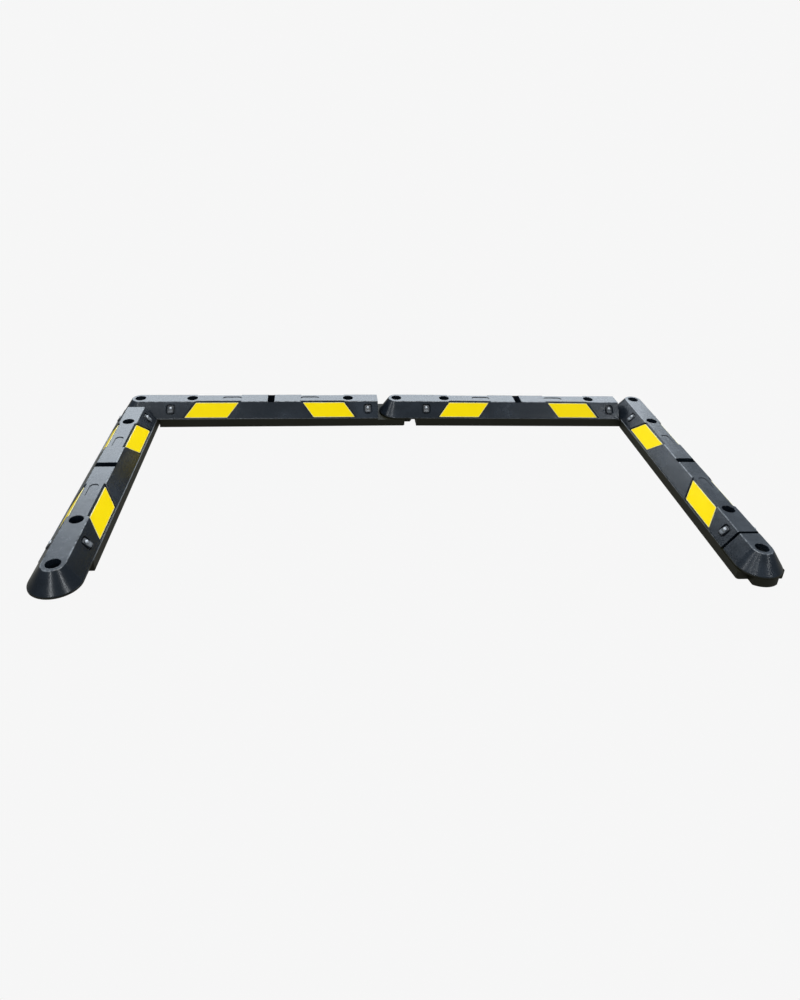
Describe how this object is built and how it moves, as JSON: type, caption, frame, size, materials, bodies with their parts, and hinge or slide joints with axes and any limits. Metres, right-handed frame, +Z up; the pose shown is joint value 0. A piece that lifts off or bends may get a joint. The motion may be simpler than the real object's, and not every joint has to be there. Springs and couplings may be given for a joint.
{
  "type": "modular parking kerb",
  "caption": "Black rubber parking kerb of lapped modules hinged on vertical bolts and laid in a U, with yellow reflective panels, cat's-eyes, counterbored anchor holes and an end cap.",
  "frame": {"origin": "centre of the overall box, on the floor that the kerb lies on", "axes": "+X along the back of the U from the left arm to the right arm, +Y away from its open side, +Z up"},
  "size_m": [2.1492, 1.1616, 0.09],
  "materials": {
    "rubber": "matt moulded black rubber with a faint blue-grey bloom",
    "reflective_panel": "yellow reflective sheet, satin",
    "cats_eye": "clear bead in a pale grey housing",
    "steel": "zinc-plated steel"
  },
  "bodies": {
    "left_arm": {"left_arm_module": "rubber", "left_arm_panel_inner_nose": "reflective_panel", "left_arm_cats_eye_inner_nose": "cats_eye", "left_arm_panel_inner_tail": "reflective_panel", "left_arm_cats_eye_inner_tail": "cats_eye", "left_arm_panel_outer_nose": "reflective_panel", "left_arm_cats_eye_outer_nose": "cats_eye", "left_arm_panel_outer_tail": "reflective_panel", "left_arm_cats_eye_outer_tail": "cats_eye"},
    "back_left": {"back_left_module": "rubber", "back_left_panel_inner_nose": "reflective_panel", "back_left_cats_eye_inner_nose": "cats_eye", "back_left_panel_inner_tail": "reflective_panel", "back_left_cats_eye_inner_tail": "cats_eye", "back_left_panel_outer_nose": "reflective_panel", "back_left_cats_eye_outer_nose": "cats_eye", "back_left_panel_outer_tail": "reflective_panel", "back_left_cats_eye_outer_tail": "cats_eye", "back_left_lap_bolt": "steel", "back_left_lap_washer": "steel", "back_left_lap_nut": "steel"},
    "back_right": {"back_right_module": "rubber", "back_right_panel_inner_nose": "reflective_panel", "back_right_cats_eye_inner_nose": "cats_eye", "back_right_panel_inner_tail": "reflective_panel", "back_right_cats_eye_inner_tail": "cats_eye", "back_right_panel_outer_nose": "reflective_panel", "back_right_cats_eye_outer_nose": "cats_eye", "back_right_panel_outer_tail": "reflective_panel", "back_right_cats_eye_outer_tail": "cats_eye", "back_right_lap_bolt": "steel", "back_right_lap_washer": "steel", "back_right_lap_nut": "steel"},
    "right_arm": {"right_arm_module": "rubber", "right_arm_panel_inner_nose": "reflective_panel", "right_arm_cats_eye_inner_nose": "cats_eye", "right_arm_panel_inner_tail": "reflective_panel", "right_arm_cats_eye_inner_tail": "cats_eye", "right_arm_panel_outer_nose": "reflective_panel", "right_arm_cats_eye_outer_nose": "cats_eye", "right_arm_panel_outer_tail": "reflective_panel", "right_arm_cats_eye_outer_tail": "cats_eye", "right_arm_lap_bolt": "steel", "right_arm_lap_washer": "steel", "right_arm_lap_nut": "steel", "end_cap": "rubber", "end_cap_bolt": "steel", "end_cap_washer": "steel", "end_cap_nut": "steel"}
  },
  "joints": [
    {"name": "left_corner_hinge", "type": "hinge", "parent": "back_left", "child": "left_arm", "pos_m": [-0.99563, 0.50827, 0.028], "axis": [0, 0, 1], "range_deg": [-181.6, 2.4]},
    {"name": "middle_hinge", "type": "hinge", "parent": "back_left", "child": "back_right", "pos_m": [0.00437, 0.50827, 0.028], "axis": [0, 0, 1], "range_deg": [-78.7, 81.3]},
    {"name": "right_corner_hinge", "type": "hinge", "parent": "back_right", "child": "right_arm", "pos_m": [1.00411, 0.48558, 0.028], "axis": [0, 0, 1], "range_deg": [-1.3, 182.7]}
  ]
}
